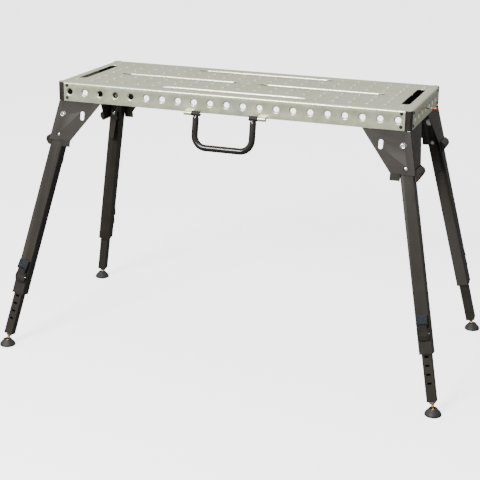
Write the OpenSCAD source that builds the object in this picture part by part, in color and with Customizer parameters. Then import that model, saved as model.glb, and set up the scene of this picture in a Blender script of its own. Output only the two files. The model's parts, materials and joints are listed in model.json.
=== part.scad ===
// Folding sawhorse: a perforated zinc work platform on four splayed,
// telescoping legs that swing in under the deck.
// X runs along the deck, -Y is the handle side, Z is up, the floor is Z = 0.

/* [Deck] */
// Length of the deck, outside to outside
deck_l = 1075; // [1060:1:1090]
// Width of the deck, outside to outside
deck_w = 404; // [400:1:408]
// Height of the flat work surface above the floor
deck_h = 823; // [820:1:830]
// Depth of the side skirts
skirt_h = 57; // [56:1:62]
// Thickness of the deck sheet
sheet = 1.5; // [1.2:0.1:1.6]
// Distance between hole rows along the deck
pitch_x = 50; // [49:0.5:51]
// Distance between hole rows across the deck
pitch_y = 50; // [49:0.5:51]
// Diameter of the big holes in the skirts
skirt_hole_d = 18; // [14:1:20]
// Height of the raised buttons on the work surface
button_h = 2; // [1:0.5:3]

/* [Legs] */
// Outward lean of a leg along the deck, in degrees
splay_x = 12; // [11.8:0.1:12.2]
// Outward lean of a leg across the deck, in degrees
splay_y = 12; // [11.9:0.1:12.2]
// Side of the square upper leg tube
tube = 38; // [37:0.5:38]
// Side of the square telescoping tube
inner = 27; // [26:0.5:27]
// Length of the upper tube below its pivot
tube_l = 575; // [568:1:582]
// Distance from the pivot to the lower end of the telescoping tube
inner_end = 710; // [706:1:712]
// Distance between the height stops
stop_pitch = 25; // [25:1:26]

/* [Handle] */
// Distance between the two arms of the carry handle
handle_span = 175; // [170:1:180]
// Distance from the hinge to the grip
handle_drop = 97; // [94:1:100]
// Diameter of the handle tube
handle_d = 19; // [18:1:20]

/* [Hidden] */
$fn = 48;

// Deck
bend_r = 6;
skirt_z = deck_h - skirt_h;
hole_z = skirt_z + skirt_h / 2;
half_l = deck_l / 2;
half_w = deck_w / 2;
rail_end = half_l - 18.5;
end_rail = half_w - 17.5;
button_base = 15.5;
button_top = 11;
button_hole = 6;
bead_w = 20;
bead_depth = 5;
bead_side_l = 400;
bead_mid_l = 345;
bead_mid_x = 4.5 * pitch_x;
hand_slot_w = 24;
hand_slot_l = 238;
last_col = 10;
last_row = 3;

// Corner brackets
plate = 2.5;
fit = 0.2;
bolt_drop = 41.7;
bolt_x = half_l - 17.5;
wing_drop = 136;
wing_over_leg = 120;
wing_top_l = 136.8;
wing_step = 44;
wing_inner_x = half_l - 138.5;
flange_x = wing_inner_x + 25;
flange_y = 74;
flange_h = skirt_h - bend_r - 0.4;
end_top_y = 46;
end_foot_y = 148;
wing_leg_x = bolt_x + (wing_drop - bolt_drop) * tan(splay_x) - tube / 2 / cos(splay_x) - 1;
end_lean = atan(tan(splay_x) / cos(splay_y));
corner_x = half_l - sheet - fit;
corner_y = half_w - sheet - fit;
seam = 3.5;
lap = 1.6;
relief = 0.5;
lock_r = 63.2;
lock_hole_d = 11.6;
fold_slot_w = 13;
fold_slot_l = 27;
rivet_d = 5;
rivet_head = 9.6;
rivet_in = 10.4;
rivet_x = rail_end - rivet_in;
rivet_y = end_rail - rivet_in;
rivet_dz = 18.5;

// Leg, measured along its axis from the pivot
bolt_d = 10;
running = 0.05;
tube_wall = 1.8;
tube_r = 3;
inner_wall = 1.6;
inner_r = 2.5;
leg_gap = 0.8;
leg_y = plate + leg_gap + tube / 2;
inner_top = 240;
latch_pivot = 519.5;
latch_pin_y = leg_y - tube / 2 - 5.5;
tooth_at = latch_pivot + 16;
tooth_w = 10;
stop_w = 12;
stop_h = 5.6;
lever_pivot = 82;
lever_y = leg_y + tube / 2 + 6.5;
lever_l = 155;
lever_pin_d = 4;
pin_d = 10.8;
pin_neck_d = 6;
nut_w = 16;
nut_h = 7;
plug_h = 3;
screw_d = 9;
ball_d = 11;
pad_d = 48;
pad_h = 21;
ball_z = 13;
leg_axis_top = skirt_z - (leg_y * sin(splay_y) + bolt_drop * cos(splay_y));
leg_rate = cos(splay_x) * cos(splay_y);
ball_at = (leg_axis_top - ball_z) / leg_rate;

// Handle
handle_tilt = 9.5;
knuckle_y = half_w + 13.5;
knuckle_d = 13;
knuckle_l = 24;
sleeve_l = 25;
sleeve_d = 15;
hinge_pin_d = 6;
handle_bend = 35;
arm_top_d = 14;

// Pull rod
rod_d = 5;
rod_y = -5;
rod_in = 150;
rod_out = 33;
tip_l = 15;
tip_d = 8;

deck_colour = "#b9bcae";
black_paint = "#3d3a36";
black_plastic = "#262423";
zinc = "#d5d6d3";
yellow_zinc = "#b79a55";
rubber = "#1d1c1c";
red_vinyl = "#c23a22";

// Frames ------------------------------------------------------------------

// Puts a front-right shape at the corner with the given signs of X and Y.
module corner(sx, sy) {
    mirror([sx < 0 ? 1 : 0, 0, 0]) mirror([0, sy > 0 ? 1 : 0, 0]) children();
}

module each_corner() {
    for (sx = [-1, 1])
        for (sy = [-1, 1])
            corner(sx, sy) children();
}

// The front wing's plane: X along the deck, +Y inwards, Z up the plate.
module wing_frame() {
    translate([0, -corner_y, skirt_z]) rotate([-splay_y, 0, 0]) children();
}

// The end wing's plane: +X outwards, Z up the plate.
module end_frame() {
    translate([corner_x, 0, skirt_z]) rotate([0, -end_lean, 0]) children();
}

// The leg: origin where the pivot crosses the wing's outer face, -Z down the leg.
module leg_frame() {
    wing_frame() translate([bolt_x, 0, -bolt_drop]) rotate([0, -splay_x, 0]) children();
}

// The foot's ball centre, upright.
module foot_frame() {
    lean_x = sin(splay_x);
    lean_y = cos(splay_x) * sin(splay_y);
    top_x = bolt_x;
    top_y = -corner_y + leg_y * cos(splay_y) - bolt_drop * sin(splay_y);
    translate([top_x + ball_at * lean_x, top_y - ball_at * lean_y, ball_z]) children();
}

// Shared shapes -----------------------------------------------------------

// A round bar or hole along Y from y0 to y1.
module bar_y(d, y0, y1) {
    translate([0, y1, 0]) rotate([90, 0, 0]) cylinder(d = d, h = y1 - y0);
}

module bar_x(d, x0, x1) {
    translate([x0, 0, 0]) rotate([0, 90, 0]) cylinder(d = d, h = x1 - x0);
}

module box(lo, hi) {
    translate(lo) cube(hi - lo);
}

// A flat slot with round ends, along X, centred.
module slot_2d(l, w) {
    square([l - w, w], center = true);
    for (s = [-1, 1]) translate([s * (l - w) / 2, 0]) circle(d = w);
}

// Turns a drawing in (X, Z) into a plate from y0 to y1.
module plate_xz(y0, y1) {
    translate([0, y1, 0]) rotate([90, 0, 0]) linear_extrude(y1 - y0) children();
}

// Turns a drawing in (Y, Z) into a plate from x0 to x1.
module plate_yz(x0, x1) {
    translate([x0, 0, 0]) rotate([90, 0, 90]) linear_extrude(x1 - x0) children();
}

module rounded_2d(l, w, r) {
    square([l - 2 * r, w], center = true);
    square([l, w - 2 * r], center = true);
    for (sx = [-1, 1])
        for (sy = [-1, 1])
            translate([sx * (l / 2 - r), sy * (w / 2 - r)]) circle(r = r);
}

module square_tube_2d(side, wall, r) {
    difference() {
        rounded_2d(side, side, r);
        rounded_2d(side - 2 * wall, side - 2 * wall, max(r - wall, 0.5));
    }
}

// Deck --------------------------------------------------------------------

function has_button(col, row) =
    abs(row) == 3 ? abs(col) >= 5 :
    row == 0 ? abs(col) == 9 || col == 0 :
    abs(col) <= 9;

module at_buttons() {
    for (row = [-last_row:last_row])
        for (col = [-last_col:last_col])
            if (has_button(col, row))
                translate([col * pitch_x, row * pitch_y, deck_h]) children();
}

// The beads' outlines, grown by a margin.
module bead_plan(grow) {
    for (row = [-last_row, last_row])
        translate([0, row * pitch_y]) slot_2d(bead_side_l + 2 * grow, bead_w + 2 * grow);
    for (s = [-1, 1])
        translate([s * bead_mid_x, 0]) slot_2d(bead_mid_l + 2 * grow, bead_w + 2 * grow);
}

// The strips along the edges where the sheet bends down, left open at the corners.
module bend_plan() {
    for (s = [-1, 1]) {
        translate([0, s * half_w]) square([2 * rail_end, 2 * bend_r], center = true);
        translate([s * half_l, 0]) square([2 * bend_r, 2 * end_rail], center = true);
    }
}

module deck_top() {
    color(deck_colour) difference() {
        union() {
            translate([0, 0, deck_h - sheet]) linear_extrude(sheet) difference() {
                rounded_2d(deck_l, deck_w, bend_r);
                bend_plan();
                bead_plan(0);
                for (s = [-1, 1])
                    translate([s * last_col * pitch_x, 0]) rotate(90)
                        slot_2d(hand_slot_l, hand_slot_w);
            }
            translate([0, 0, deck_h - sheet - bead_depth]) linear_extrude(bead_depth)
                difference() {
                    bead_plan(sheet);
                    bead_plan(0);
                }
            translate([0, 0, deck_h - sheet - bead_depth]) linear_extrude(sheet)
                bead_plan(sheet / 2);
            at_buttons() cylinder(d1 = button_base, d2 = button_top, h = button_h);
        }
        at_buttons() translate([0, 0, -2 * sheet])
            cylinder(d = button_hole, h = button_h + 3 * sheet);
    }
}

// A quarter bend that joins the top sheet to a skirt, drawn in (out, up).
module bend_2d() {
    difference() {
        intersection() {
            circle(r = bend_r);
            square(bend_r);
        }
        circle(r = bend_r - sheet);
    }
}

// A skirt for the +X end, from -reach to +reach, with a row of holes.
module skirt(half, reach, holes) {
    plate_yz(half - sheet, half) difference() {
        translate([-reach, skirt_z]) square([2 * reach, skirt_h - bend_r]);
        for (y = holes) translate([y, hole_z]) circle(d = skirt_hole_d);
        for (s = [-1, 1])
            for (dz = [-rivet_dz, rivet_dz])
                translate([s * (reach - rivet_in), hole_z + dz]) circle(d = rivet_d);
    }
    translate([half - bend_r, reach, deck_h - bend_r]) rotate([90, 0, 0])
        linear_extrude(2 * reach) bend_2d();
}

long_holes = [for (i = [-last_col:last_col]) i * pitch_x];
short_holes = [for (i = [-last_row:last_row]) i * pitch_y];

module skirt_front() {
    color(deck_colour) rotate(-90) skirt(half_w, rail_end, long_holes);
}

module skirt_back() {
    color(deck_colour) rotate(90) skirt(half_w, rail_end, long_holes);
}

module skirt_right() {
    color(deck_colour) skirt(half_l, end_rail, short_holes);
}

module skirt_left() {
    color(deck_colour) rotate(180) skirt(half_l, end_rail, short_holes);
}

// An L in plan around the front-right corner, with a rounded outside.
module corner_l_2d(out_x, out_y, in_x, in_y, wall, r) {
    translate([in_x, -out_y]) square([out_x - r - in_x, wall]);
    translate([out_x - wall, -out_y + r]) square([wall, out_y - r - in_y]);
    translate([out_x - r, -out_y + r]) difference() {
        intersection() {
            circle(r = r);
            translate([0, -r]) square(r);
        }
        circle(r = r - wall);
    }
}

module corner_caps() {
    gap = 0.3;
    color(black_plastic) each_corner()
        translate([0, 0, skirt_z + gap]) linear_extrude(skirt_h - sheet - 2 * gap)
            corner_l_2d(half_l, half_w, rail_end + gap, end_rail + gap, sheet, bend_r);
}

// One rivet along -Y through the skirt and the bracket's flange.
module rivet() {
    shank = sheet + fit + plate;
    bar_y(rivet_d, 0, shank);
    bar_y(rivet_head, -1.6, 0);
    bar_y(rivet_head, shank, shank + 1.2);
}

module corner_rivets() {
    color(black_plastic) each_corner()
        for (dz = [-rivet_dz, rivet_dz]) {
            translate([rivet_x, -half_w, hole_z + dz]) rivet();
            translate([half_l, -rivet_y, hole_z + dz]) rotate(90) rivet();
        }
}

// Brackets ----------------------------------------------------------------

module bracket_flange() {
    hole_d = skirt_hole_d + 2;
    difference() {
        translate([0, 0, skirt_z]) linear_extrude(flange_h)
            corner_l_2d(corner_x + fit / 2, corner_y + fit / 2, flange_x, flange_y,
                plate, bend_r);
        for (x = [flange_x - flange_x % pitch_x:pitch_x:last_col * pitch_x])
            translate([x, -corner_y, hole_z]) bar_y(hole_d, -1, plate + 1);
        for (y = [2, 3])
            translate([corner_x, -y * pitch_y, hole_z]) bar_x(hole_d, -plate - 1, 1);
        for (dz = [-rivet_dz, rivet_dz]) {
            translate([rivet_x, -corner_y, hole_z + dz]) bar_y(rivet_d, -1, plate + 1);
            translate([corner_x, -rivet_y, hole_z + dz]) bar_x(rivet_d, -plate - 1, 1);
        }
    }
}

// The wing that the leg's pivot goes through.
module front_wing() {
    rate = tan(splay_x);
    bottom = wing_top_l - wing_step;
    leg_edge = wing_leg_x - wing_inner_x;
    plate_xz(0, plate) difference() {
        translate([wing_inner_x, 0]) polygon([[0, -relief], [flange_x - wing_inner_x + 2, -relief],
            [flange_x - wing_inner_x + 3, lap], [wing_top_l - 11, lap],
            [wing_top_l - 9, -relief], [wing_top_l, -relief],
            [wing_top_l + wing_over_leg * rate, -wing_over_leg], [leg_edge, -wing_over_leg],
            [leg_edge, -wing_drop], [bottom + 1, -wing_drop], [bottom, -wing_drop + 16]]);
        translate([bolt_x, -bolt_drop]) circle(d = bolt_d + 2 * running);
        translate([bolt_x + lock_r * sin(splay_x), -bolt_drop - lock_r * cos(splay_x)])
            circle(d = lock_hole_d);
        translate([bolt_x - lock_r, -bolt_drop]) rotate(90)
            slot_2d(fold_slot_l, fold_slot_w);
    }
}

// The wing that closes the corner across the deck's end.
module end_wing() {
    rate = tan(splay_y) * cos(end_lean);
    top_y = corner_y - plate - seam;
    plate_yz(-plate, 0) polygon([[-end_top_y, -relief], [-flange_y - 2, -relief],
        [-flange_y - 3, lap], [-top_y + 9, lap], [-top_y + 7, -relief], [-top_y, -relief],
        [-top_y - wing_drop * rate, -wing_drop],
        [-end_foot_y, -wing_drop], [-end_foot_y + 1, -wing_drop + 16]]);
}

module bracket() {
    color(black_paint) {
        bracket_flange();
        wing_frame() front_wing();
        end_frame() end_wing();
    }
}

module bracket_front_right() { corner(1, -1) bracket(); }
module bracket_front_left() { corner(-1, -1) bracket(); }
module bracket_back_right() { corner(1, 1) bracket(); }
module bracket_back_left() { corner(-1, 1) bracket(); }

// A plastic strip under the front wing beside the leg, and a lug on the end wing.
module bumper() {
    x0 = wing_inner_x + wing_top_l - wing_step - 1;
    x1 = wing_leg_x;
    y1 = corner_y - plate + (wing_drop - 16) * tan(splay_y) * cos(end_lean) - 2;
    wing_frame() {
        box([x0, -1.8, -wing_drop - 2], [x1, -0.1, -wing_drop + 19]);
        box([x0, -1.8, -wing_drop - 2], [x1, plate - 0.1, -wing_drop - 0.1]);
    }
    end_frame() plate_xz(-y1, -end_foot_y - 2)
        polygon([[0.1, -wing_drop + 30], [4, -wing_drop + 30], [13, -wing_drop + 20],
            [13, -wing_drop + 9], [3, -wing_drop - 2], [-plate, -wing_drop - 2],
            [-plate, -wing_drop - 0.1], [0.1, -wing_drop - 0.1]]);
}

module bracket_bumpers() {
    color(black_plastic) each_corner() bumper();
}

// A flanged bolt through the wing and the leg, with a nut on the inner face.
module pivot_bolt() {
    head_y = -1.6;
    leg_in = leg_y + tube / 2;
    difference() {
        union() {
            bar_y(19, head_y, -0.05);
            translate([0, head_y, 0]) rotate([90, 0, 0]) cylinder(d1 = 17, d2 = 13, h = 4);
            bar_y(bolt_d, head_y, leg_in + 9);
            bar_y(20, leg_in + 0.4, leg_in + 1.9);
            translate([0, leg_in + 8.4, 0]) rotate([90, 0, 0])
                cylinder(d = 18.5, h = 6.5, $fn = 6);
        }
        translate([0, head_y - 1.5, 0]) rotate([90, 0, 0]) cylinder(d = 9, h = 4, $fn = 6);
    }
}

module pivot_bolts() {
    color(zinc) each_corner() leg_frame() pivot_bolt();
}

// Leg ---------------------------------------------------------------------

// Steel ears that carry the height latch.
module latch_ears() {
    y1 = leg_y - tube / 2 + 0.3;
    translate([0, 0, -latch_pivot]) for (s = [-1, 1]) difference() {
        plate_yz(s * 15 - 1, s * 15 + 1) polygon([[y1, 15.5], [y1 - 6, 13.5],
            [y1 - 11, 6.5], [y1 - 11, -5.5], [y1 - 3, -19.5], [y1, -20.5]]);
        translate([0, latch_pin_y, 0]) bar_x(5 + 2 * running, s * 15 - 2, s * 15 + 2);
    }
}

// Steel ears that carry the lock lever.
module lever_ears() {
    y0 = leg_y + tube / 2 - 0.3;
    for (s = [-1, 1]) difference() {
        plate_yz(s * 11 - 1, s * 11 + 1) polygon([[y0, -70], [y0 + 9, -76], [y0 + 11, -82],
            [y0 + 9, -88], [y0, -94]]);
        translate([0, lever_y, -lever_pivot])
            bar_x(lever_pin_d + 2 * running, s * 11 - 2, s * 11 + 2);
    }
}

module leg_tube() {
    color(black_paint) {
        difference() {
            intersection() {
                translate([0, leg_y, -tube_l]) linear_extrude(tube_l + tube / 2)
                    square_tube_2d(tube, tube_wall, tube_r);
                union() {
                    box([-tube, 0, -tube_l - 1], [tube, leg_y + tube, 0]);
                    bar_y(tube, 0, leg_y + tube);
                }
            }
            bar_y(bolt_d + 2 * running, 0, leg_y + tube);
            translate([0, 0, -lock_r]) bar_y(pin_d + 2 * running, 0, leg_y + tube);
            box([-tooth_w / 2 - 1, 0, -tooth_at - 5], [tooth_w / 2 + 1, leg_y - 10, -tooth_at + 5]);
        }
        latch_ears();
        lever_ears();
    }
}

// The collar that fills the step between the two tubes.
module guide_bush() {
    gap = 0.2;
    color(black_plastic) translate([0, leg_y, -tube_l]) {
        linear_extrude(28) square_tube_2d(tube - 2 * tube_wall - gap, 3.5, 1.2);
        translate([0, 0, -3]) linear_extrude(3) difference() {
            square(tube - 0.6, center = true);
            square(inner + 0.6, center = true);
        }
    }
}

// A rocking lever: pressing its upper end draws the tooth out of the inner tube.
module height_latch() {
    face = leg_y - tube / 2;
    tip = leg_y - inner / 2 - 0.3;
    color(black_plastic) {
        translate([0, 0, -latch_pivot]) {
            plate_yz(-16, 16) polygon([[face - 5.5, 53.5], [face - 8.5, 53.5], [face - 14, 31],
                [face - 13, 24], [face - 5.4, 24], [face - 6, 40.5]]);
            plate_yz(-13, 13) polygon([[face - 6, 40], [face - 11, 40], [face - 12, 22],
                [face - 9.5, 5.5], [face - 9.5, -6.5], [face - 7, -16.5], [face - 5, -19.5],
                [face - 3.6, -19.5], [face - 1.6, 0], [face - 5, 13.5]]);
        }
        plate_yz(-tooth_w / 2, tooth_w / 2) polygon([[face - 4, -tooth_at + 1.2],
            [tip - 1, -tooth_at + 1.2], [tip, -tooth_at + 0.6], [tip, -tooth_at - 1.6],
            [face - 4, -tooth_at - 3]]);
        translate([0, latch_pin_y, -latch_pivot]) bar_x(5, -18, 18);
    }
}

// A rocker on the inner face: squeezing its long arm pulls the lock pin back.
module lock_lever() {
    fork_w = pin_neck_d + 1.4;
    color(black_paint) translate([0, lever_y, -lever_pivot]) {
        bar_x(lever_pin_d, -13.5, 13.5);
        difference() {
            plate_yz(-9.5, 9.5) polygon([[2, 28], [4.5, 28], [4.5, 10], [3.5, 0], [5, -12],
                [14, lever_pivot - lever_l + 8], [12, lever_pivot - lever_l],
                [9, lever_pivot - lever_l], [10.5, lever_pivot - lever_l + 8], [2.5, -12],
                [-2.5, -4], [-2.5, 5], [2, 10]]);
            box([-fork_w / 2, -10, lever_pivot - lock_r - fork_w / 2],
                [fork_w / 2, 10, 40]);
        }
    }
}

module lock_pin() {
    inner_face = leg_y + tube / 2;
    color(zinc) translate([0, 0, -lock_r]) {
        bar_y(pin_d, plate + 0.3, inner_face + 7);
        bar_y(pin_neck_d, inner_face + 6, inner_face + 13);
        bar_y(pin_d, inner_face + 12.4, inner_face + 16);
    }
}

module inner_tube() {
    first = ceil((inner_top + 20 - tooth_at) / stop_pitch);
    last = floor((inner_end - 45 - tooth_at) / stop_pitch);
    color(black_paint) difference() {
        translate([0, leg_y, -inner_end]) linear_extrude(inner_end - inner_top)
            square_tube_2d(inner, inner_wall, inner_r);
        for (i = [first:last])
            translate([0, 0, -tooth_at - i * stop_pitch])
                box([-stop_w / 2, leg_y - inner, -stop_h / 2],
                    [stop_w / 2, leg_y - inner / 2 + inner_wall + 1, stop_h / 2]);
    }
}

module end_plug() {
    side = inner - 2 * inner_wall - 0.2;
    color(black_plastic) translate([0, leg_y, -inner_end]) difference() {
        union() {
            linear_extrude(18) square(side, center = true);
            translate([0, 0, -plug_h]) linear_extrude(plug_h) square(inner - 0.4, center = true);
        }
        translate([0, 0, -plug_h - 1]) cylinder(d = screw_d + 0.4, h = 30);
    }
}

module foot_nut() {
    color(yellow_zinc) translate([0, leg_y, -inner_end - plug_h - nut_h]) difference() {
        cylinder(d = nut_w / cos(30), h = nut_h, $fn = 6);
        translate([0, 0, -1]) cylinder(d = screw_d + 2 * running, h = nut_h + 2);
    }
}

module foot_screw() {
    neck = 8;
    top = inner_end - 25;
    color(yellow_zinc) translate([0, leg_y, -ball_at]) {
        sphere(d = ball_d);
        cylinder(d = 5.8, h = neck + 1);
        translate([0, 0, neck]) cylinder(d1 = 6.4, d2 = screw_d, h = 2);
        translate([0, 0, neck + 2]) cylinder(d = screw_d, h = ball_at - top - neck - 2);
    }
}

module foot_pad() {
    color(rubber) foot_frame() difference() {
        rotate_extrude() polygon([[0, -ball_z], [pad_d / 2 - 1, -ball_z], [pad_d / 2, -ball_z + 1],
            [pad_d / 2, -ball_z + 5], [22, -ball_z + 9], [18, -ball_z + 13.5],
            [14, -ball_z + 17], [12.6, pad_h - ball_z], [0, pad_h - ball_z]]);
        sphere(d = ball_d + 0.16);
        cylinder(d1 = 0.2, d2 = 2 * (pad_h - ball_z + 1) * tan(53.5), h = pad_h - ball_z + 1);
    }
}

module leg_tube_front_right() { corner(1, -1) leg_frame() leg_tube(); }
module leg_tube_front_left() { corner(-1, -1) leg_frame() leg_tube(); }
module leg_tube_back_right() { corner(1, 1) leg_frame() leg_tube(); }
module leg_tube_back_left() { corner(-1, 1) leg_frame() leg_tube(); }
module guide_bush_front_right() { corner(1, -1) leg_frame() guide_bush(); }
module guide_bush_front_left() { corner(-1, -1) leg_frame() guide_bush(); }
module guide_bush_back_right() { corner(1, 1) leg_frame() guide_bush(); }
module guide_bush_back_left() { corner(-1, 1) leg_frame() guide_bush(); }
module height_latch_front_right() { corner(1, -1) leg_frame() height_latch(); }
module height_latch_front_left() { corner(-1, -1) leg_frame() height_latch(); }
module height_latch_back_right() { corner(1, 1) leg_frame() height_latch(); }
module height_latch_back_left() { corner(-1, 1) leg_frame() height_latch(); }
module lock_lever_front_right() { corner(1, -1) leg_frame() lock_lever(); }
module lock_lever_front_left() { corner(-1, -1) leg_frame() lock_lever(); }
module lock_lever_back_right() { corner(1, 1) leg_frame() lock_lever(); }
module lock_lever_back_left() { corner(-1, 1) leg_frame() lock_lever(); }
module lock_pin_front_right() { corner(1, -1) leg_frame() lock_pin(); }
module lock_pin_front_left() { corner(-1, -1) leg_frame() lock_pin(); }
module lock_pin_back_right() { corner(1, 1) leg_frame() lock_pin(); }
module lock_pin_back_left() { corner(-1, 1) leg_frame() lock_pin(); }
module inner_tube_front_right() { corner(1, -1) leg_frame() inner_tube(); }
module inner_tube_front_left() { corner(-1, -1) leg_frame() inner_tube(); }
module inner_tube_back_right() { corner(1, 1) leg_frame() inner_tube(); }
module inner_tube_back_left() { corner(-1, 1) leg_frame() inner_tube(); }
module end_plug_front_right() { corner(1, -1) leg_frame() end_plug(); }
module end_plug_front_left() { corner(-1, -1) leg_frame() end_plug(); }
module end_plug_back_right() { corner(1, 1) leg_frame() end_plug(); }
module end_plug_back_left() { corner(-1, 1) leg_frame() end_plug(); }
module foot_nut_front_right() { corner(1, -1) leg_frame() foot_nut(); }
module foot_nut_front_left() { corner(-1, -1) leg_frame() foot_nut(); }
module foot_nut_back_right() { corner(1, 1) leg_frame() foot_nut(); }
module foot_nut_back_left() { corner(-1, 1) leg_frame() foot_nut(); }
module foot_screw_front_right() { corner(1, -1) leg_frame() foot_screw(); }
module foot_screw_front_left() { corner(-1, -1) leg_frame() foot_screw(); }
module foot_screw_back_right() { corner(1, 1) leg_frame() foot_screw(); }
module foot_screw_back_left() { corner(-1, 1) leg_frame() foot_screw(); }
module foot_pad_front_right() { corner(1, -1) foot_pad(); }
module foot_pad_front_left() { corner(-1, -1) foot_pad(); }
module foot_pad_back_right() { corner(1, 1) foot_pad(); }
module foot_pad_back_left() { corner(-1, 1) foot_pad(); }

// Handle ------------------------------------------------------------------

module handle_frame() {
    translate([0, -knuckle_y, skirt_z]) rotate([-handle_tilt, 0, 0]) children();
}

module handle_knuckles() {
    x0 = handle_span / 2 + sleeve_l / 2 + 0.5;
    color(zinc) for (s = [-1, 1]) mirror([s < 0 ? 1 : 0, 0, 0]) difference() {
        union() {
            translate([0, -knuckle_y, skirt_z]) bar_x(knuckle_d, x0, x0 + knuckle_l);
            box([x0, -knuckle_y, skirt_z + 2], [x0 + knuckle_l, -half_w, skirt_z + 6]);
        }
        translate([0, -knuckle_y, skirt_z]) bar_x(hinge_pin_d, x0 - 1, x0 + knuckle_l + 1);
    }
}

module handle_pins() {
    x0 = handle_span / 2 - sleeve_l / 2;
    x1 = handle_span / 2 + sleeve_l / 2 + 0.5 + knuckle_l;
    color(zinc) for (s = [-1, 1]) mirror([s < 0 ? 1 : 0, 0, 0])
        translate([0, -knuckle_y, skirt_z]) {
            bar_x(hinge_pin_d, x0 - 2, x1);
            bar_x(9, x0 - 2.5, x0 - 0.5);
        }
}

module handle_sleeves() {
    x0 = handle_span / 2 - sleeve_l / 2;
    color(black_plastic) for (s = [-1, 1]) mirror([s < 0 ? 1 : 0, 0, 0])
        handle_frame() difference() {
            bar_x(sleeve_d, x0, x0 + sleeve_l);
            bar_x(hinge_pin_d + 2 * running, x0 - 1, x0 + sleeve_l + 1);
        }
}

module carry_handle() {
    x = handle_span / 2;
    drop = handle_drop;
    cone_h = 4;
    arm_top = arm_top_d;
    color(black_paint) handle_frame() {
        for (s = [-1, 1]) mirror([s < 0 ? 1 : 0, 0, 0]) {
            translate([x, 0, -drop + handle_bend])
                cylinder(d = handle_d, h = drop - handle_bend - arm_top);
            translate([x, 0, -arm_top]) cylinder(d1 = handle_d, d2 = arm_top_d, h = cone_h);
            difference() {
                translate([x, 0, cone_h - arm_top]) cylinder(d = arm_top_d, h = arm_top - cone_h - 2);
                bar_x(sleeve_d + 0.04, x - arm_top_d, x + arm_top_d);
            }
            translate([x - handle_bend, 0, -drop + handle_bend]) rotate([90, 90, 0])
                rotate_extrude(angle = 90) translate([handle_bend, 0]) circle(d = handle_d);
        }
        translate([0, 0, -drop]) bar_x(handle_d, -x + handle_bend, x - handle_bend);
    }
}

// Pull rod ----------------------------------------------------------------

module at_rod() {
    translate([half_l, rod_y, hole_z]) children();
}

module rod_guide() {
    top = deck_h - sheet - hole_z;
    color(zinc) at_rod() for (x = [-118, -62]) difference() {
        union() {
            plate_yz(x, x + 2) translate([-9, -7]) square([18, top + 7]);
            box([x, -9, top - 2], [x + 10, 9, top]);
        }
        bar_x(rod_d + 2 * running, x - 1, x + 3);
    }
}

module pull_rod() {
    color(zinc) at_rod() {
        bar_x(rod_d, -rod_in, rod_out - tip_l + 2);
        bar_x(10, -rod_in, -rod_in + 3);
    }
}

module rod_tip() {
    color(red_vinyl) at_rod() difference() {
        bar_x(tip_d, rod_out - tip_l, rod_out);
        bar_x(rod_d, rod_out - tip_l - 1, rod_out - tip_l + 2);
    }
}

deck_top();
skirt_front();
skirt_back();
skirt_left();
skirt_right();
corner_caps();
corner_rivets();
bracket_front_right();
bracket_front_left();
bracket_back_right();
bracket_back_left();
bracket_bumpers();
pivot_bolts();
handle_knuckles();
handle_pins();
rod_guide();
carry_handle();
handle_sleeves();
pull_rod();
rod_tip();
leg_tube_front_right();
leg_tube_front_left();
leg_tube_back_right();
leg_tube_back_left();
guide_bush_front_right();
guide_bush_front_left();
guide_bush_back_right();
guide_bush_back_left();
height_latch_front_right();
height_latch_front_left();
height_latch_back_right();
height_latch_back_left();
lock_lever_front_right();
lock_lever_front_left();
lock_lever_back_right();
lock_lever_back_left();
lock_pin_front_right();
lock_pin_front_left();
lock_pin_back_right();
lock_pin_back_left();
inner_tube_front_right();
inner_tube_front_left();
inner_tube_back_right();
inner_tube_back_left();
end_plug_front_right();
end_plug_front_left();
end_plug_back_right();
end_plug_back_left();
foot_nut_front_right();
foot_nut_front_left();
foot_nut_back_right();
foot_nut_back_left();
foot_screw_front_right();
foot_screw_front_left();
foot_screw_back_right();
foot_screw_back_left();
foot_pad_front_right();
foot_pad_front_left();
foot_pad_back_right();
foot_pad_back_left();
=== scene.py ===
"""Looks of the folding sawhorse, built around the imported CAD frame. Metres, Z up."""

import json
import math

import bmesh
import bpy
from mathutils import Matrix, Vector


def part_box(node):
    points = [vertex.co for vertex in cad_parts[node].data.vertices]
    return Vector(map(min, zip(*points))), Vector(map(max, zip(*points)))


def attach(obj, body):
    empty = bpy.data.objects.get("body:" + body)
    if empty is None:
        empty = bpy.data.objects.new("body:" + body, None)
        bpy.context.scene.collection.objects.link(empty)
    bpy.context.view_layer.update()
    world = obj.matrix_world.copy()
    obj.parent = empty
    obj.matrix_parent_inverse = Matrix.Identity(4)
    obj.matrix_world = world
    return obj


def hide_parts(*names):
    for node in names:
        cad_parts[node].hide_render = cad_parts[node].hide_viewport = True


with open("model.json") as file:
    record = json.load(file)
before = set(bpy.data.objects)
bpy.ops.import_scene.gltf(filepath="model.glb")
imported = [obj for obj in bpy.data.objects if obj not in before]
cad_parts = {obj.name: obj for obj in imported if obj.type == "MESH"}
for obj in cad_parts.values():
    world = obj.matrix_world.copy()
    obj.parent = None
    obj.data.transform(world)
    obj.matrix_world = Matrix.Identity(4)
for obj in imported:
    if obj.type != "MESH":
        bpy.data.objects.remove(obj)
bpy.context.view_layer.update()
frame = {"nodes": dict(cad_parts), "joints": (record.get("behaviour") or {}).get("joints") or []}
JOINTS = {j["name"]: j for j in frame["joints"]}
NODES = frame["nodes"]
CORNERS = ("front_right", "front_left", "back_right", "back_left")
MM = 0.001


# Mesh helpers ------------------------------------------------------------

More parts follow.
